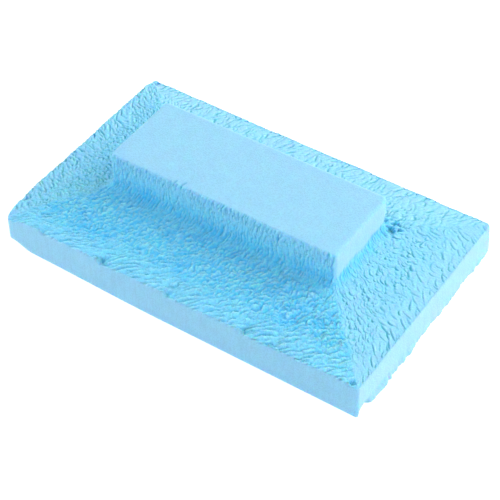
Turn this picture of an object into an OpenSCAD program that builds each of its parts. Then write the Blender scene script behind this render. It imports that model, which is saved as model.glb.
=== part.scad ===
// Chalkboard eraser: one block of soft polyurethane foam, cut and ground to a
// wide wiping slab with four sloping shoulders and a raised finger grip.
// The underside is the flat wiping face. Units are millimetres.
// Origin: centre of the wiping face. +X along the length, +Z up.

/* [Slab] */
// Length of the wiping face
slab_length = 150; // [130:1:200]
// Width of the wiping face
slab_width = 94; // [75:1:120]
// Height of the straight saw-cut side, from the wiping face to the shoulder
side_height = 13; // [6:0.5:25]

/* [Shoulders] */
// How far the shoulders rise from the sides to the foot of the grip
shoulder_rise = 7.5; // [0:0.5:15]
// Radius of the ground hollow between the shoulders and the grip
hollow_radius = 5; // [1:0.5:6]

/* [Grip] */
// Length of the raised grip
grip_length = 95; // [70:1:115]
// Width of the raised grip
grip_width = 36; // [20:1:50]
// How far the grip rises from the top of the shoulders
grip_rise = 14.5; // [12:0.5:25]

/* [Softened edges] */
// Radius of the grip's top edge
grip_edge_radius = 1.5; // [0.5:0.5:4]
// Plan radius of the slab's most worn corner, at -X -Y
worn_corner_radius = 3.5; // [2:0.5:14]
// Plan radius of the corner across from it, at +X +Y
far_corner_radius = 1.5; // [1:0.5:8]
// Plan radius of the two corners that are still nearly sharp
crisp_corner_radius = 1; // [0.5:0.5:4]

/* [Colour] */
// Colour of the foam
foam_colour = "#9adcf8";

/* [Hidden] */
$fn = 96;
// Height at which the shoulders would meet the grip with no hollow between
shoulder_height = side_height + shoulder_rise;
total_height = shoulder_height + grip_rise;
// How far a cutter or a sweep reaches past the face that it ends at
past = 1;

function mirrored(points) =
    [for (i = [len(points) - 1 : -1 : 0]) [-points[i][0], points[i][1]]];

// What a rounding takes off a square corner: the corner is at the origin, and
// the material lies towards -X -Y
module corner_waste(radius) {
    difference() {
        translate([-radius, -radius]) square(radius + past);
        translate([-radius, -radius]) circle(radius);
    }
}

// An upright section through the block. Its shoulders fall from the grip to the
// sides, and an arc at the grip's foot touches both the grip and the shoulder.
module section(slab_size, grip_size) {
    edge = slab_size / 2;
    foot = grip_size / 2;
    slope = atan(shoulder_rise / (edge - foot));
    hollow = [foot + hollow_radius,
              shoulder_height - hollow_radius * tan(slope) + hollow_radius / cos(slope)];
    right = [[edge, 0],
             [edge, side_height],
             hollow - hollow_radius * [sin(slope), cos(slope)],
             hollow,
             [foot, hollow[1]],
             [foot, total_height]];
    difference() {
        polygon(concat(right, mirrored(right)));
        for (side = [0, 1])
            mirror([side, 0]) {
                translate(hollow) circle(hollow_radius);
                translate([foot, total_height]) corner_waste(grip_edge_radius);
            }
    }
}

// The wiping face's outline
module outline() {
    half = [slab_length, slab_width] / 2;
    // Which side of the middle each corner is on, along X and Y, and its radius
    corners = [[-1, -1, worn_corner_radius],
               [1, 1, far_corner_radius],
               [1, -1, crisp_corner_radius],
               [-1, 1, crisp_corner_radius]];
    difference() {
        square(2 * half, center = true);
        for (corner = corners)
            mirror([corner[0] < 0 ? 1 : 0, 0])
                mirror([0, corner[1] < 0 ? 1 : 0])
                    translate(half) corner_waste(corner[2]);
    }
}

// The lengthwise section swept across the block meets the crosswise section
// swept along it, which leaves a straight ridge at each corner of the
// shoulders, from the slab's corner up to the grip's.
module foam_block() {
    color(foam_colour)
        intersection() {
            rotate([90, 0, 0])
                linear_extrude(slab_width + 2 * past, center = true)
                    section(slab_length, grip_length);
            rotate([90, 0, 90])
                linear_extrude(slab_length + 2 * past, center = true)
                    section(slab_width, grip_width);
            translate([0, 0, -past])
                linear_extrude(total_height + 2 * past) outline();
        }
}

foam_block();
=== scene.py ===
"""A chalkboard eraser ground from one block of soft foam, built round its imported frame.

Run as a script: each piece is made by its own operator, then the stage is set.
"""

from math import cos, pi, radians, sin

import bpy
import numpy as np
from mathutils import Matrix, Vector


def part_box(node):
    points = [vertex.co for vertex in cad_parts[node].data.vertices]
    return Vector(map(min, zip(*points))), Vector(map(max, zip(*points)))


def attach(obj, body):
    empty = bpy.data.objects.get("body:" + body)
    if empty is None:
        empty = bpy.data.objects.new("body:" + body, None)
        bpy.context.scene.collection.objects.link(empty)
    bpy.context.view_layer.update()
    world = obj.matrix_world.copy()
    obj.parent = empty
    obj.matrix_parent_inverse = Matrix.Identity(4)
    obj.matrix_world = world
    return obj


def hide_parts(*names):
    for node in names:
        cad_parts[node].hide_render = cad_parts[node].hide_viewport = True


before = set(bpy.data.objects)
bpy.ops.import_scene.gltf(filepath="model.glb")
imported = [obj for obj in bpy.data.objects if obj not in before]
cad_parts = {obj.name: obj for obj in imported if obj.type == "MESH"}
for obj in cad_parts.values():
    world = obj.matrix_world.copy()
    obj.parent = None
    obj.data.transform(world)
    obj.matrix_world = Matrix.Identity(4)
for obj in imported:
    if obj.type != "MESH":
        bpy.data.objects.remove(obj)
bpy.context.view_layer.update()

bl_info = {
    "name": "Chalkboard Eraser",
    "version": (1, 0, 0),
    "blender": (4, 5, 0),
    "location": "3D View > Sidebar > Eraser",
    "description": "Builds a one-piece foam chalkboard eraser with ground shoulders and a raised grip",
    "category": "Object",
}

MM = 0.001
LOW, HIGH = (np.array(corner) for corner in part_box("foam_block"))


# ---------------------------------------------------------------- settings

def length(name, default, description):
    return bpy.props.FloatProperty(name=name, description=description, default=default,
                                   min=0.0, subtype="DISTANCE", unit="LENGTH")


def linear(hex_value):
    """Turns an sRGB hex colour into the linear values that Blender works in."""
    shares = [int(hex_value[i:i + 2], 16) / 255 for i in (1, 3, 5)]
    return [v / 12.92 if v <= 0.04045 else ((v + 0.055) / 1.055) ** 2.4 for v in shares]


def colour(name, hex_value, description):
    return bpy.props.FloatVectorProperty(name=name, description=description, size=3, min=0.0,
                                         max=1.0, subtype="COLOR", default=linear(hex_value))


class EraserSizes(bpy.types.PropertyGroup):
    """Sizes of the foam block, in metres"""
    slab_length: length("Slab length", float(HIGH[0] - LOW[0]), "Length of the wiping face")
    slab_width: length("Slab width", float(HIGH[1] - LOW[1]), "Width of the wiping face")
    total_height: length("Height", float(HIGH[2] - LOW[2]), "Wiping face to the top of the grip")
    side_height: length("Side height", 13 * MM, "Height of the saw-cut side")
    shoulder_rise: length("Shoulder rise", 7.5 * MM, "Rise of the shoulders up to the grip")
    hollow_radius: length("Hollow radius", 5 * MM, "Radius of the hollow at the foot of the grip")
    grip_length: length("Grip length", 95 * MM, "Length of the raised grip")
    grip_width: length("Grip width", 36 * MM, "Width of the raised grip")
    grip_edge: length("Grip edge", 1.5 * MM, "Radius of the grip's top edge")
    sole_edge: length("Sole edge", 0.7 * MM, "Radius of the wiping face's edge")
    grain: length("Mesh grain", 0.31 * MM, "Distance between points on the ground foam")


class EraserColours(bpy.types.PropertyGroup):
    """sRGB colours of the foam, of the shade and highlight painted on it, and of the stage"""
    cut_foam: colour("Cut foam", "#90c8e5", "Foam where a blade cut it smooth")
    # Partly the torn foam's own colour and partly painted shade: the sides that lie in shade get more
    # of it.
    ground_foam_and_shade: colour("Ground foam", "#78d5ff", "Foam where grinding tore its cells open")
    # Painted highlight: the lips of the torn flaps are painted paler, as if light shone through them.
    painted_lip_highlight: colour("Thin foam", "#a6e0fa", "Thin lips of the torn flaps, which light shines through")
    # Painted shade: the dark colour painted into the tears, the gouge's holes, the bites and the nicks.
    painted_tear_shade: colour("Deep foam", "#46a8c8", "Foam at the bottom of the tears")
    # Painted shade: the saturated blue painted into the hollows, along the grip's foot and in the
    # gouge.
    painted_hollow_shade: colour("Hollow foam", "#48c0ff", "Foam in the hollows that were ground deepest")
    floor: colour("Floor", "#8c8d8e", "Grey under the floor's own white glow")


# ---------------------------------------------------------------- block

def ring_profile(s):
    """Rings from the wiping face's edge to the grip's top edge: half length, half width, height."""
    half = np.array([s.slab_length, s.slab_width]) / 2
    foot = np.array([s.grip_length, s.grip_width]) / 2
    slope = np.arctan(s.shoulder_rise / (half - foot))
    meet = s.side_height + s.shoulder_rise
    rings = []
    for turn in np.linspace(0, pi / 2, 4):
        rings.append((*(half - s.sole_edge * (1 - sin(turn))), s.sole_edge * (1 - cos(turn))))
    side_top = s.side_height
    for share in np.linspace(0, 1, 17)[1:]:
        eased = 1 - (1 - share) ** 1.7
        rings.append((*half, s.sole_edge + (side_top - s.sole_edge) * eased))
    # The hollow's arc touches the shoulder and the grip's side.
    r = s.hollow_radius
    middle = meet + r * float(np.mean(1 / np.cos(slope) - np.tan(slope)))
    start = foot + r * (1 - np.sin(slope))
    start_height = middle - r * float(np.mean(np.cos(slope)))
    steps = int(np.ceil(np.max(half - start) / s.grain))
    for share in np.linspace(0, 1, steps + 1)[1:]:
        rings.append((*(half + (start - half) * share),
                      side_top + (start_height - side_top) * share))
    low_turn = float(np.mean(slope))
    steps = int(np.ceil(r * (pi / 2 - low_turn) / s.grain))
    for turn in np.linspace(low_turn, pi / 2, steps + 1)[1:]:
        rings.append((*(foot + r * (1 - sin(turn))), middle - r * cos(turn)))
    wall_top = s.total_height - s.grip_edge
    steps = int(np.ceil((wall_top - middle) / (1.1 * s.grain)))
    for share in np.linspace(0, 1, steps + 1)[1:]:
        rings.append((*foot, middle + (wall_top - middle) * share))
    for turn in np.linspace(0, pi / 2, 7)[1:]:
        rings.append((*(foot - s.grip_edge * (1 - cos(turn))), wall_top + s.grip_edge * sin(turn)))
    return rings


def select_edges(mesh, along):
    """Selects only the edges that run along one axis; Edit Mode has to be off."""
    points = coordinates(mesh)
    ends = np.empty(len(mesh.edges) * 2, np.int32)
    mesh.edges.foreach_get("vertices", ends)
    run = np.abs(np.diff(points[ends.reshape(-1, 2)], axis=1)[:, 0])
    for kind in (mesh.vertices, mesh.edges, mesh.polygons):
        kind.foreach_set("select", np.zeros(len(kind), bool))
    chosen = (run[:, along] > 0) & (np.delete(run, along, 1).max(1) < 1e-7)
    mesh.edges.foreach_set("select", chosen)


def coordinates(mesh):
    points = np.empty(len(mesh.vertices) * 3)
    mesh.vertices.foreach_get("co", points)
    return points.reshape(-1, 3)


def step_ring(ring, last):
    """Extrudes the selected ring to the next one's height and size."""
    bpy.ops.mesh.extrude_region_move(
        TRANSFORM_OT_translate={"value": (0, 0, ring[2] - last[2])})
    bpy.ops.transform.resize(value=(ring[0] / last[0], ring[1] / last[1], 1))


def cut_block(s):
    """The block as the saw and the grinder's profile leave it, still without any tearing."""
    rings = ring_profile(s)
    bpy.ops.mesh.primitive_plane_add(size=1, location=(0, 0, rings[0][2]))
    block = bpy.context.active_object
    block.name = block.data.name = "foam"
    block.scale = (2 * rings[0][0], 2 * rings[0][1], 1)
    bpy.ops.object.transform_apply(location=True, rotation=True, scale=True)
    bpy.ops.object.mode_set(mode="EDIT")
    bpy.ops.mesh.select_mode(type="EDGE")
    bpy.ops.mesh.select_all(action="SELECT")
    bpy.ops.mesh.delete(type="ONLY_FACE")
    bpy.ops.mesh.select_all(action="SELECT")
    for last, ring in zip(rings, rings[1:]):
        step_ring(ring, last)
    for along, size in enumerate((s.slab_length, s.slab_width)):
        bpy.ops.object.mode_set(mode="OBJECT")
        select_edges(block.data, along)
        bpy.ops.object.mode_set(mode="EDIT")
        bpy.ops.mesh.subdivide_edgering(number_cuts=int(size / s.grain), interpolation="LINEAR")
    bpy.ops.object.mode_set(mode="OBJECT")
    return block, rings


def close_face(block, height, half, insets):
    """Closes the block's open end at one height with rings that shrink to a line."""
    mesh = block.data
    at_end = np.abs(coordinates(mesh)[:, 2] - height) < 1e-7
    for kind in (mesh.edges, mesh.polygons):
        kind.foreach_set("select", np.zeros(len(kind), bool))
    mesh.vertices.foreach_set("select", at_end)
    bpy.ops.object.mode_set(mode="EDIT")
    bpy.ops.mesh.select_mode(type="VERT")
    half = np.array(half)
    last = half
    for inset in insets + [float(half.min())]:
        size = half - inset
        bpy.ops.mesh.extrude_edges_move()
        bpy.ops.transform.resize(value=(*(size / last), 1))
        last = size
    bpy.ops.mesh.remove_doubles(threshold=1e-7)
    bpy.ops.object.mode_set(mode="OBJECT")


# How far in from the edge the rings that close the wiping face and the grip's top lie, in mm.
SOLE_INSETS = (0.3, 0.7, 1.2, 1.8, 2.6, 3.6, 5, 8, 15, 30)
TOP_INSETS = (5, 6.5, 9, 12)
FINE_TOP_RINGS = 14


def close_block(block, rings, s):
    """Closes the wiping face and the grip's top, and turns every face outwards."""
    sole = [inset * MM for inset in SOLE_INSETS]
    close_face(block, rings[0][2], rings[0][:2], sole)
    # Rings one grain apart give the nicks in the top their shape.
    top = [float(inset) for inset in np.arange(1, FINE_TOP_RINGS + 1) * s.grain]
    top += [inset * MM for inset in TOP_INSETS]
    close_face(block, rings[-1][2], rings[-1][:2], top)
    bpy.ops.object.mode_set(mode="EDIT")
    bpy.ops.mesh.select_all(action="SELECT")
    bpy.ops.mesh.normals_make_consistent(inside=False)
    bpy.ops.object.mode_set(mode="OBJECT")


# ---------------------------------------------------------------- tearing

# Size of the repeating tables of random numbers, which every seed fills anew.
TABLE = 512


def lots(seed, kinds):
    """A repeating table of random shares, the same on every run."""
    return np.random.default_rng(seed).random((kinds, TABLE, TABLE))


def noise(u, v, seed):
    """Smooth noise from -1 to 1 with one bump per unit."""
    table = lots(seed, 1)[0]
    i, j = np.floor(u).astype(int), np.floor(v).astype(int)
    s, t = u - i, v - j
    s, t = s * s * (3 - 2 * s), t * t * (3 - 2 * t)
    i, j, k, m = i % TABLE, j % TABLE, (i + 1) % TABLE, (j + 1) % TABLE
    near = table[i, j] * (1 - s) + table[k, j] * s
    far = table[i, m] * (1 - s) + table[k, m] * s
    return 2 * (near * (1 - t) + far * t) - 1


def rough(u, v, seed, octaves=3):
    """Noise with finer and weaker noise added to it."""
    total = sum(noise(u * 2 ** n, v * 2 ** n, seed + n) / 2 ** n for n in range(octaves))
    return total / (2 - 2 ** (1 - octaves))


def ramp(low, high, x):
    """Goes smoothly from 0 at low to 1 at high."""
    t = np.clip((x - low) / (high - low), 0, 1)
    return t * t * (3 - 2 * t)


def flaps(u, v, long, pitch, seed, bow=0.3, reach=1.6, slit=0.32, lip=0.55):
    """Torn flaps that lie like shingles, in mm. u runs along their free edges, v towards them.

    Returns shares from 0 to 1: the height, which is 1 on a free edge, how deep in a tear the
    point is, and how near it is to the thin lip of a flap.
    """
    gu = u / long + 0.10 * noise(u / pitch, v / pitch, seed + 40)
    gv = v / pitch + 0.14 * noise(u / pitch, v / pitch / 2, seed + 41)
    table = lots(seed, 7)
    row = np.floor(gv).astype(int)
    height, tear, thin = np.zeros((3, *gu.shape))
    for row_step in (-1, 0, 1, 2):
        j = row + row_step
        stagger = table[0, j % TABLE, 7]
        column = np.floor(gu + stagger).astype(int)
        for column_step in (-1, 0, 1):
            i = column + column_step
            pick = table[:, i % TABLE, j % TABLE]
            half = 0.3 + 0.6 * pick[1] ** 1.5
            x = (gu - (i + 0.2 + 0.6 * pick[2] - stagger)) / half
            slant = (pick[5] - 0.5) * 0.9 * x
            behind = j + 0.1 + 0.8 * pick[3] - bow * x * x + slant - gv
            lift = (0.3 + 0.7 * pick[4]) * np.sqrt(np.clip(1 - x * x, 0, 1))
            body = lift * (1 - behind / reach) * (behind > 0) * (behind < reach)
            height = np.maximum(height, body)
            past = behind * pitch
            open_wide = slit * (0.7 + 0.6 * pick[6])
            tear = np.maximum(tear, lift * np.exp(-((past + open_wide) / open_wide) ** 2))
            thin = np.maximum(thin, lift * np.exp(-((past - 0.8 * lip) / lip) ** 2))
    return height, tear, thin


# How the tears lie on each side. The lean is measured from the side's own edge; the lengths
# and spacings, in mm, are those near the edge and then those near the grip; the climb is how
# far in mm the tearing goes up the grip, the lift is how far the flaps stand up and the slit
# how deep the tears go, in mm; the hollows are how strong the patches are that were ground
# deeper, which also get painted shade, the valley how strong the painted shade is along the
# grip's foot, the tone how much of the ground foam's colour and its painted shade shows, most
# on the front, which lies in shade, and the dark how dark the painted shade in the wide and
# small tears is.
SIDES = (
    dict(axis=1, sign=-1, lean=36, long=5.2, pitch=1.5, short=2.2, close=1.3, climb=12.3,
         lift=0.65, slit=0.75, hollows=0.85, valley=0.9, tone=1.0, dark=0.6, seed=100),
    dict(axis=0, sign=1, lean=54, long=3.6, pitch=2.6, short=1.9, close=1.8, climb=1.5,
         lift=0.07, slit=0.6, hollows=0.15, valley=0.85, tone=0.3, dark=1.35, seed=200),
    dict(axis=1, sign=1, lean=-80, long=4.6, pitch=2.1, short=3.0, close=1.8, climb=8.0,
         lift=0.1, slit=0.65, hollows=0.1, valley=0.0, tone=0.25, dark=1.35, seed=300),
    dict(axis=0, sign=-1, lean=-54, long=2.7, pitch=1.65, short=1.6, close=1.3, climb=10.0,
         lift=0.22, slit=0.8, hollows=0.2, valley=0.2, tone=0.55, dark=1.4, seed=400),
)


def turned(along, run, degrees):
    """Coordinates along a direction and across it, measured from the side's edge."""
    c, s = cos(radians(degrees)), sin(radians(degrees))
    return along * c + run * s, run * c - along * s


def torn(side, along, run, wall_foot):
    """The ground foam on one side: its height in mm, and shares from 0 to 1 that say how much
    painted shade the tears and the hollows lay on each point, how near a thin lip it is, which
    gets a painted highlight, and how torn open it is."""
    seed = side["seed"]
    sway = 2.2 * rough(along / 16, run / 12, seed + 1)
    drift = 0.6 * rough(along / 4.5, run / 4.5, seed + 2)
    a, r = along + drift, run + sway
    wide = flaps(*turned(a, r, side["lean"]), side["long"], side["pitch"], seed + 3, bow=0.2,
                 slit=0.28, lip=0.4)
    turn = side["lean"] + 10 * np.sign(side["lean"])
    swirl = 1.3 * rough(along / 5, run / 5, seed + 9)
    fine = flaps(*turned(a - swirl, r + swirl, turn), side["short"], side["close"], seed + 4,
                 bow=0.34, reach=1.2, slit=0.28, lip=0.34)
    # Towards the grip the tears turn upright and become a comb.
    bend = np.sign(side["lean"]) * np.clip(wall_foot - run, 0, None) ** 2 / 20
    comb = flaps(run + 0.8 * drift, -(along + bend + 0.6 * sway + 0.45 * drift), 3.4, 1.2,
                 seed + 5, bow=0.25, reach=1.1, slit=0.24, lip=0.3)
    fray = flaps(*turned(a + swirl, r, turn + 15), 1.5, 0.85, seed + 10, bow=0.4, reach=1.0,
                 slit=0.22, lip=0.3)
    patch = 2.5 * rough(along / 8, run / 8, seed + 6)
    to_fine = ramp(5, 12, run + 1.8 * patch)
    to_comb = ramp(wall_foot - 7, wall_foot - 1.5, run + 1.2 * patch)
    ends = wall_foot + side["climb"]
    ragged = 0.4 * patch + 1.3 * noise(along / 0.8, run / 9, seed + 11)
    fade = 1 - ramp(ends - 3, ends, run + ragged)
    hollows = ramp(0.0, 0.7, rough(along / 5.5, run / 5, seed + 12, 2)) * ramp(5, 11, run)
    hollows = side["hollows"] * hollows
    # Painted shade along the grip's foot.
    from_foot = run - wall_foot + 2.3 + 0.3 * patch
    valley = side["valley"] * np.exp(-(from_foot / np.where(from_foot > 0, 4.2, 2.6)) ** 2)
    valley = valley * (0.85 + 0.5 * rough(along / 5, run / 9, seed + 13, 2))
    hollow = np.maximum(hollows * (1 - to_comb), valley) * fade
    teeth = 0.75 + 0.45 * ramp(wall_foot + 3, wall_foot + 8, run)
    shares = (1 - to_fine, 0.95 * to_fine * (1 - to_comb), teeth * to_comb * fade, 0.3 * fade)
    kinds = (wide, fine, comb, fray)
    height, tear, thin = (sum(kind[i] * share for kind, share in zip(kinds, shares))
                          for i in range(3))
    # Painted shade in the low places between the fine flaps.
    low = (1 - ramp(0.1, 0.6, height)) * to_fine * (1 - to_comb)
    hollow = np.maximum(hollow, 0.75 * side["hollows"] * low)
    # Painted shade in the tears: small tears get less of it than wide ones, because light leaks
    # through their thin walls.
    pale = (min(1.2, 1.5 * side["dark"]), side["dark"], 0.85, 0.4)
    shadow = sum(kind[1] * share * dark for kind, share, dark in zip(kinds, shares, pale))
    lumps = rough(along / 0.8, run / 0.8, seed + 7, 2)
    swell = rough(along / 10, run / 8, seed + 8)
    height = height + (0.3 * lumps + 0.45 * swell) * (1 - 0.7 * to_comb) * fade
    height = height * side["lift"] - tear * side["slit"] - 0.4 * hollows * fade
    return height, shadow, hollow, thin, fade


def round_plan(points, centre, share, quadrant=(0, 0)):
    """Turns the square corners beyond a centre into quarter circles round it."""
    beyond = np.abs(points[:, :2]) - centre
    here = (beyond > 0).all(1)
    for axis, sign in enumerate(quadrant):
        if sign:
            here &= points[:, axis] * sign > 0
    pull = beyond[here].max(1) / np.hypot(*beyond[here].T)
    pull = 1 + (pull - 1) * share[here]
    points[here, :2] = np.sign(points[here, :2]) * (centre + beyond[here] * pull[:, None])


# Radius in mm of each upright corner of the slab: the first one is worn, the second rubbed.
CORNERS = (((-1, -1), 3.5), ((1, 1), 1.6), ((1, -1), 1.0), ((-1, 1), 1.5))
GRIP_CORNER = 2.2

# The worn corner's lower edge is rubbed to this radius, and its upper edge sinks this far, in mm.
WORN_SOLE = 4.6
WORN_RIM = 0.9

# About how wide the shoulders are, in mm.
SHOULDER = 28

# Places in mm where the grinder caught the edge: where along it, half its width, its depth.
FRONT_BITES = ((-32, 1.8, 2.0), (-3.5, 1.8, 0.9), (28, 2.2, 1.2), (71, 1.6, 1.0), (-58, 1.5, 0.7))
LEFT_BITES = ((-36, 1.8, 1.3), (-12, 1.5, 0.7), (21, 1.4, 0.6))

# The gouge beside the grip: its middle and its depth in mm.
PIT = (47.6, 21.2)
PIT_DEPTH = 1.8

# The chip in the lower edge on the right: how far it is from the front, and its depth in mm.
CHIP = 3.6
CHIP_DEPTH = 2.0

# Curled nicks in the grip's top edge: the middle of each arc, its radius, and where it starts
# and ends in degrees, the middle and radius in mm.
NICKS = ((-15.3, -17.8, 4.0, 150, 192), (-13.7, -17.0, 2.5, 130, 226))
NICK_DEPTH = 0.6

# How far in mm the saw cuts lean out from the shoulder down to the wiping face: -X, +X, -Y, +Y.
FLARE = (0.0, 1.0, 1.2, 0.3)


def wear_corner(points, half, side_height):
    """Rubs the worn corner round from below, and rolls its upper edge down."""
    inside = np.clip((half - np.abs(points[:, :2])).min(1) / MM, 0, None)
    corner = np.hypot(points[:, 0] + half[0], points[:, 1] + half[1]) / MM
    radius = np.maximum(WORN_SOLE * ramp(13, 2, corner), 0.01)
    rise = radius - np.sqrt(np.clip(radius ** 2 - np.clip(radius - inside, 0, None) ** 2, 0, None))
    below = points[:, 2] < side_height
    points[below, 2] += (rise * MM * (1 - points[:, 2] / side_height))[below]
    roll = ramp(20, 3, corner) * ramp(7, 0, inside) ** 1.5 * ramp(4, 12, points[:, 2] / MM)
    points[:, 2] -= WORN_RIM * roll * MM


def lean_sides(points, half, side_height):
    """Lets the sawn sides lean out a little towards the wiping face, whose edge is ragged."""
    down = np.clip(1 - points[:, 2] / side_height, 0, 1) * ramp(-70, -5, points[:, 0] / MM)
    for axis, (low, high) in enumerate((FLARE[:2], FLARE[2:])):
        out = np.where(points[:, axis] > 0, high, low) * MM / half[axis]
        points[:, axis] *= 1 + out * down
    x, y, z = points.T / MM
    # The ragged edge is on the right, where it hangs out a little more in front of the middle.
    fringe = 0.6 * rough(y / 1.4, x / 40, 504) + 0.5 * rough(y / 6, x / 40, 505)
    fringe = (fringe + 0.5 * ramp(-4, -14, y) * ramp(-44, -36, y)) * ramp(3.5, 0.3, z)
    from_chip = np.hypot(y + half[1] / MM - CHIP, z)
    fringe -= CHIP_DEPTH * ramp(4.0, 1.0, from_chip + 0.8 * noise(y, x / 9, 506))
    points[:, 0] += fringe * ramp(half[0] / MM - 6, half[0] / MM, x) * MM


def edge_steps(along, places, high=0.35, low=-1.0):
    """The upper edge climbs from each bite to the next, and drops there, in mm."""
    at = np.sort([place for place, _, _ in places])
    return np.interp(along, np.repeat(at, 2) + np.tile([-0.6, 0.6], len(at)),
                     np.tile([high, low], len(at)))


def bites(along, edge_distance, places):
    """Notches in an upper edge, in mm."""
    depth = np.zeros_like(along)
    for place, half, deep in places:
        across = np.abs(along - place - 0.5 * edge_distance) / half
        depth = np.maximum(depth, deep * ramp(1, 0.2, across) * ramp(half * 2.2, 0, edge_distance))
    return depth


def grind(block, rings, s):
    """Tears the shoulders and the grip's sides as a coarse grinder leaves them."""
    mesh = block.data
    points = coordinates(mesh)
    half = np.array([s.slab_length, s.slab_width]) / 2
    foot = np.array([s.grip_length, s.grip_width]) / 2
    profile = np.array(rings)
    steps = np.hypot(np.diff(profile[:, :2].mean(1)), np.diff(profile[:, 2]))
    travelled = np.concatenate([[0], np.cumsum(steps)])
    heights = profile[:, 2]
    edge_run = np.interp(s.side_height, heights, travelled)
    run = (np.interp(points[:, 2], heights, travelled) - edge_run) / MM
    meet = s.side_height + s.shoulder_rise
    wall_foot = (np.interp(meet + 0.7 * s.hollow_radius, heights, travelled) - edge_run) / MM
    wall_top = (travelled[-1] - edge_run) / MM
    over = (half - np.abs(points[:, :2])) / (half - foot)

    for quadrant, radius in CORNERS:
        round_plan(points, half - radius * MM, np.ones(len(points)), quadrant)
    up_grip = ramp(meet - 3 * MM, meet + 0.5 * MM, points[:, 2])
    round_plan(points, foot - GRIP_CORNER * MM, up_grip)
    wear_corner(points, half, s.side_height)
    lean_sides(points, half, s.side_height)
    mesh.vertices.foreach_set("co", points.ravel())
    mesh.update()
    normals = np.empty(len(points) * 3)
    mesh.vertices.foreach_get("normal", normals)
    normals = normals.reshape(-1, 3)

    # Neighbouring sides share the points near the mitre between them.
    mitre = (over[:, 0] - over[:, 1]) * SHOULDER
    torn_here = np.zeros((6, len(points)))
    inward = np.zeros_like(points)
    ground = np.flatnonzero((run > -4) & (points[:, 2] < s.total_height - 1e-6))
    for side in SIDES:
        axis, sign = side["axis"], side["sign"]
        weight = ramp(-3, 3, mitre[ground] if axis == 1 else -mitre[ground])
        weight = weight * (points[ground, axis] * sign > 0)
        mine = ground[weight > 0]
        weight = weight[weight > 0]
        along = points[mine, 1 - axis] / MM
        shares = torn(side, along, run[mine], wall_foot)
        # The last share is the side's tone, which sets how much painted shade its ground foam gets.
        torn_here[:, mine] += weight * np.array([*shares, shares[4] * side["tone"]])
        inward[mine, axis] -= weight * sign
    # The worn corner is rubbed nearly smooth.
    corner = np.hypot(points[:, 0] + half[0], points[:, 1] + half[1]) / MM
    torn_here *= 0.6 + 0.4 * ramp(2, 12, corner)
    height, tear, hollow, thin, torn_open, tone = torn_here
    x, y = points[:, 0] / MM, points[:, 1] / MM
    edge_distance = np.clip(run, 0, None)
    on_front = (mitre > 0) & (y < 0)
    on_left = (mitre < 0) & (x < 0)
    bitten = bites(x, edge_distance, FRONT_BITES) * on_front
    bitten = bitten + bites(y, edge_distance, LEFT_BITES) * on_left
    # The gouge behind the grip's far corner is a few ragged holes close together, with painted
    # shade in them.
    gouge = ramp(7.0, 1.5, np.hypot(x - PIT[0], y - PIT[1]) + 2.6 * noise(x / 2, y / 2, 501))
    gouge = gouge * ramp(wall_foot + 2.5, wall_foot - 1.5, run) * ramp(0, 4, run)
    pit = gouge * (0.1 + 0.9 * ramp(-0.15, 0.35, noise(x / 1.05, y / 1.05, 502)))

    # The tearing dies out just below the edge, and where the grip's sides end.
    fade = ramp(-1.0, 0.2, run) * (1 - ramp(wall_top - 1.2, wall_top + 0.3, run))
    pushed = (height - 0.4 * torn_open) * fade - bitten * fade - PIT_DEPTH * pit
    lean = 0.35 * np.clip(height, 0, None) * fade
    inward -= normals * (inward * normals).sum(1)[:, None]
    points += (normals * pushed[:, None] + inward * lean[:, None]) * MM
    # The upper edge wanders up and down, and is a little high in front and on the left.
    near_edge = ramp(-9, 0, run) * ramp(7, 0, run)
    wander = 0.5 * rough(x / 7 + 40, y / 7, 503)
    wander += (edge_steps(x, FRONT_BITES) + 1.2 * ramp(-20, -60, x)) * ramp(4, 9, mitre) * on_front
    wander += 1.4 * on_left * ramp(-1, -7, mitre) + 0.6 * on_front * ramp(1, 7, mitre)
    points[:, 2] += wander * near_edge * MM
    curl = nicks(x, y) * (points[:, 2] > s.total_height - 1.5 * MM)
    points[:, 2] -= NICK_DEPTH * curl * MM

    # The ground foam's colour is partly its own and partly painted shade: each side's tone says
    # how much of it shows, and it is weaker near the edge and up the grip's sides, where less
    # shade falls.
    up_wall = ramp(wall_foot + 1, wall_top - 2, run)
    outer = 0.72 + 0.28 * ramp(1, 11, run)
    store(mesh, "ground", tone * fade * ramp(-0.3, 0.5, run) * outer * (1 - 0.55 * up_wall))
    # Painted shade in the tears, in the gouge's holes, in the bites and in the curled nicks.
    store(mesh, "tear", np.clip(tear * fade + 0.9 * pit + 0.35 * bitten * fade + 0.7 * curl, 0, 1))
    # Painted shade in the hollows, along the grip's foot and in the gouge.
    store(mesh, "hollow", np.clip(hollow * fade + 0.5 * gouge ** 2, 0, 1))
    # Painted highlight on the thin lips of the flaps.
    store(mesh, "lip", np.clip(thin * fade, 0, 1))
    mesh.vertices.foreach_set("co", points.ravel())
    mesh.update()


def nicks(x, y):
    """Curled cuts, from 0 to 1."""
    depth = np.zeros_like(x)
    for middle_x, middle_y, radius, start, end in NICKS:
        turn = np.degrees(np.arctan2(y - middle_y, x - middle_x)) % 360
        away = np.hypot(x - middle_x, y - middle_y) - radius
        ends = ramp(start - 12, start + 12, turn) * ramp(end + 12, end - 12, turn)
        depth = np.maximum(depth, np.exp(-(away / 0.33) ** 2) * ends)
    return depth


def store(mesh, name, values):
    """Keeps one number for each point, for the material to read."""
    mesh.attributes.new(name, "FLOAT", "POINT").data.foreach_set("value", values.astype(np.float32))


# ---------------------------------------------------------------- material

def add_node(tree, kind, settings=None, links=None):
    """Adds a node; links maps an input's name or number to a socket or a plain value."""
    node = tree.nodes.new(kind)
    for name, value in (settings or {}).items():
        setattr(node, name, value)
    for name, value in (links or {}).items():
        if isinstance(value, bpy.types.NodeSocket):
            tree.links.new(value, node.inputs[name])
        else:
            node.inputs[name].default_value = value
    return node


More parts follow.
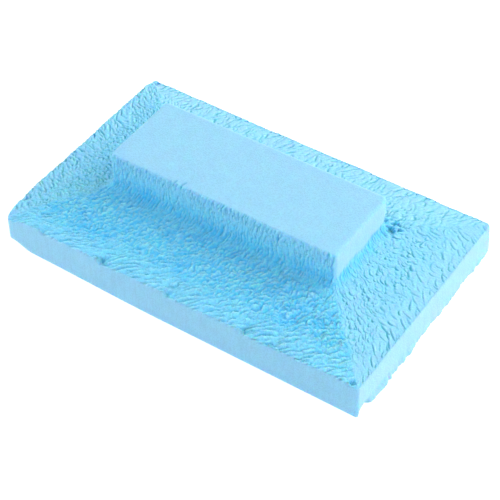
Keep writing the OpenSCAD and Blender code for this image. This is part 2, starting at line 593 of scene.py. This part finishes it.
def new_material(name):
    material = bpy.data.materials.new(name)
    material.use_nodes = True
    tree = material.node_tree
    tree.nodes.clear()
    output = add_node(tree, "ShaderNodeOutputMaterial")
    return material, tree, output


def polyurethane_foam(c):
    """Open-cell polyurethane foam, sawn smooth and ground open on its shoulders.

    Light soaks a few millimetres into it, so it glows at thin lips, where a painted highlight adds
    to the glow, and has no gloss; shade is painted into its tears and hollows.
    """
    material, tree, output = new_material("polyurethane_foam")
    place = add_node(tree, "ShaderNodeTexCoord").outputs["Object"]
    ground, tear, hollow, lip = (
        add_node(tree, "ShaderNodeAttribute", {"attribute_name": name}).outputs["Fac"]
        for name in ("ground", "tear", "hollow", "lip"))
    # The painted highlight on the lips is kept faint.
    highlight_share = add_node(tree, "ShaderNodeMath", {"operation": "MULTIPLY"},
                         {0: lip, 1: 0.8}).outputs[0]
    # Over the cut foam's colour go the ground foam's colour with its painted shade, painted shade in
    # the hollows, a painted highlight on the lips and painted shade in the tears.
    paint = (*c.cut_foam, 1)
    for share, colour_here in ((ground, c.ground_foam_and_shade), (hollow, c.painted_hollow_shade),
                               (highlight_share, c.painted_lip_highlight), (tear, c.painted_tear_shade)):
        paint = add_node(tree, "ShaderNodeMix", {"data_type": "RGBA"},
                         {0: share, 6: paint, 7: (*colour_here, 1)}).outputs[2]
    # Foam cells are about 0.4 mm across, and are drawn coarser than that so that they show.
    cells = add_node(tree, "ShaderNodeTexVoronoi", {"feature": "F1"},
                     {"Vector": place, "Scale": 1 / (0.55 * MM)}).outputs["Distance"]
    # The dye is a little uneven over a few millimetres.
    cloud = add_node(tree, "ShaderNodeTexNoise", None,
                     {"Vector": place, "Scale": 1 / (6 * MM), "Detail": 2.0}).outputs["Fac"]
    # Ground foam is crumbly, in crumbs of about 1.2 mm.
    crumb = add_node(tree, "ShaderNodeTexNoise", None,
                     {"Vector": place, "Scale": 1 / (1.2 * MM), "Detail": 2.0, "Roughness": 0.6,
                      "Distortion": 0.8}).outputs["Fac"]
    # The saw leaves faint upright streaks about 0.8 mm apart.
    upright = add_node(tree, "ShaderNodeMapping", None,
                       {"Vector": place, "Scale": (1, 1, 0.06)}).outputs[0]
    streak = add_node(tree, "ShaderNodeTexNoise", None,
                      {"Vector": upright, "Scale": 1 / (0.8 * MM), "Detail": 1.0}).outputs["Fac"]
    # Each pattern's usual range becomes a small change in brightness.
    shade, speck, crumbs, streaks = (
        add_node(tree, "ShaderNodeMapRange", None,
                 {"Value": pattern, 1: low, 2: high, 3: darkest, 4: lightest}).outputs[0]
        for pattern, low, high, darkest, lightest in (
            (cloud, 0.25, 0.75, 0.98, 1.02), (cells, 0.1, 0.6, 0.91, 1.06),
            (crumb, 0.35, 0.65, 0.92, 1.10), (streak, 0.3, 0.7, 0.97, 1.03)))
    ground_crumbs = add_node(tree, "ShaderNodeMix", None,
                             {0: ground, 2: 1.0, 3: crumbs}).outputs[0]
    brightness = shade
    for change in (speck, ground_crumbs, streaks):
        brightness = add_node(tree, "ShaderNodeMath", {"operation": "MULTIPLY"},
                              {0: brightness, 1: change}).outputs[0]
    tone = add_node(tree, "ShaderNodeVectorMath", {"operation": "SCALE"},
                    {0: paint, "Scale": brightness}).outputs[0]
    crumb_height = add_node(tree, "ShaderNodeMath", {"operation": "MULTIPLY"},
                            {0: crumb, 1: ground}).outputs[0]
    crumb_bump = add_node(tree, "ShaderNodeBump", None,
                          {"Height": crumb_height, "Strength": 0.6, "Distance": 0.8 * MM}).outputs[0]
    bump = add_node(tree, "ShaderNodeBump", {"invert": True},
                    {"Height": cells, "Strength": 0.35, "Distance": 0.25 * MM,
                     "Normal": crumb_bump}).outputs[0]
    # Blue light soaks in much further than red.
    foam = add_node(tree, "ShaderNodeBsdfPrincipled", {"subsurface_method": "RANDOM_WALK"},
                    {"Base Color": tone, "Normal": bump, "Roughness": 0.9, "IOR": 1.45,
                     "Specular IOR Level": 0.15, "Subsurface Weight": 1.0,
                     "Subsurface Radius": (0.07, 0.45, 1.0), "Subsurface Scale": 2.2 * MM,
                     "Sheen Weight": 0.1, "Sheen Roughness": 0.5})
    tree.links.new(foam.outputs[0], output.inputs[0])
    return material


def white_paper(c):
    """Matt background paper that glows to an even white and shows only a faint shadow."""
    material, tree, output = new_material("white_paper")
    paper = add_node(tree, "ShaderNodeBsdfPrincipled", None,
                     {"Base Color": (*c.floor, 1), "Roughness": 0.95, "Specular IOR Level": 0.1,
                      "Emission Color": (1, 1, 1, 1), "Emission Strength": 0.9})
    tree.links.new(paper.outputs[0], output.inputs[0])
    return material


# ---------------------------------------------------------------- stage

# The camera turns round the block by its azimuth, looks down by its elevation, in degrees,
# and looks at a point on the floor, in metres.
AZIMUTH, ELEVATION, DISTANCE = 33.413, 44.971, 0.59941
TARGET = Vector((0.002323, -0.001315, 0))
# Focal length and sensor width in mm.
LENS, SENSOR = 117.49, 36

# Soft boxes: name, azimuth and elevation in degrees, distance and size in metres, watts, tint.
LIGHTS = (
    ("key", 126, 40, 1.0, 0.8, 10.0, "#fff1e6"),
    ("fill", -20, 30, 1.2, 1.0, 3.3, "#f3faff"),
    ("rim", -100, 30, 1.2, 0.8, 3.0, "#f3faff"),
)
ROOM_LIGHT, ROOM_TINT = 0.61, "#f3faff"
FLOOR_SIZE = 4


def add_camera():
    a, e = radians(AZIMUTH), radians(ELEVATION)
    back = Vector((sin(a) * cos(e), -cos(a) * cos(e), sin(e)))
    bpy.ops.object.camera_add(location=TARGET + back * DISTANCE)
    camera = bpy.context.active_object
    camera.rotation_euler = back.to_track_quat("Z", "Y").to_euler()
    camera.data.lens = LENS
    camera.data.sensor_width = SENSOR
    bpy.context.scene.camera = camera


def add_light(name, azimuth, elevation, distance, size, power, tint):
    """A square soft box that looks at the block; azimuth 0 is in front, 90 to the right."""
    a, e = radians(azimuth), radians(elevation)
    back = Vector((sin(a) * cos(e), -cos(a) * cos(e), sin(e)))
    bpy.ops.object.light_add(type="AREA", location=back * distance)
    light = bpy.context.active_object
    light.name = name
    light.rotation_euler = back.to_track_quat("Z", "Y").to_euler()
    light.data.size = size
    light.data.energy = power
    light.data.color = linear(tint)


def add_floor(c):
    bpy.ops.mesh.primitive_plane_add(size=FLOOR_SIZE)
    floor = bpy.context.active_object
    floor.name = floor.data.name = "floor"
    floor.data.materials.append(white_paper(c))


def light_world(strength, tint):
    world = bpy.data.worlds.new("white_room")
    world.use_nodes = True
    world.node_tree.nodes["Background"].inputs["Color"].default_value = (*linear(tint), 1)
    world.node_tree.nodes["Background"].inputs["Strength"].default_value = strength
    bpy.context.scene.world = world


# ---------------------------------------------------------------- add-on

class ERASER_OT_foam(bpy.types.Operator):
    """Cut, grind and colour the one-piece foam block"""
    bl_idname = "eraser.foam"
    bl_label = "Foam block"

    def execute(self, context):
        s, c = context.scene.eraser_sizes, context.scene.eraser_colours
        bpy.ops.object.select_all(action="DESELECT")
        block, rings = cut_block(s)
        close_block(block, rings, s)
        grind(block, rings, s)
        bpy.ops.object.shade_smooth()
        block.data.materials.append(polyurethane_foam(c))
        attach(block, "root")
        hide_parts("foam_block")
        bpy.ops.object.select_all(action="DESELECT")
        return {"FINISHED"}


class ERASER_OT_stage(bpy.types.Operator):
    """Set the camera, the soft lights and the pale floor"""
    bl_idname = "eraser.stage"
    bl_label = "Stage"

    def execute(self, context):
        bpy.ops.object.select_all(action="DESELECT")
        add_floor(context.scene.eraser_colours)
        add_camera()
        for light in LIGHTS:
            add_light(*light)
        light_world(ROOM_LIGHT, ROOM_TINT)
        context.scene.view_settings.view_transform = "Standard"
        bpy.ops.object.select_all(action="DESELECT")
        return {"FINISHED"}


class ERASER_PT_panel(bpy.types.Panel):
    """Sizes, colours and the steps that build the eraser"""
    bl_idname = "ERASER_PT_panel"
    bl_label = "Chalkboard Eraser"
    bl_space_type = "VIEW_3D"
    bl_region_type = "UI"
    bl_category = "Eraser"

    def draw(self, context):
        for group in (context.scene.eraser_sizes, context.scene.eraser_colours):
            box = self.layout.box()
            for name in group.__annotations__:
                box.prop(group, name)
        for step in STEPS:
            self.layout.operator(step.bl_idname)


STEPS = (ERASER_OT_foam, ERASER_OT_stage)
CLASSES = (EraserSizes, EraserColours, *STEPS, ERASER_PT_panel)


def register():
    for item in CLASSES:
        bpy.utils.register_class(item)
    bpy.types.Scene.eraser_sizes = bpy.props.PointerProperty(type=EraserSizes)
    bpy.types.Scene.eraser_colours = bpy.props.PointerProperty(type=EraserColours)


def unregister():
    del bpy.types.Scene.eraser_sizes
    del bpy.types.Scene.eraser_colours
    for item in reversed(CLASSES):
        bpy.utils.unregister_class(item)


def main():
    register()
    bpy.ops.eraser.foam()
    bpy.ops.eraser.stage()


if __name__ == "__main__":
    main()
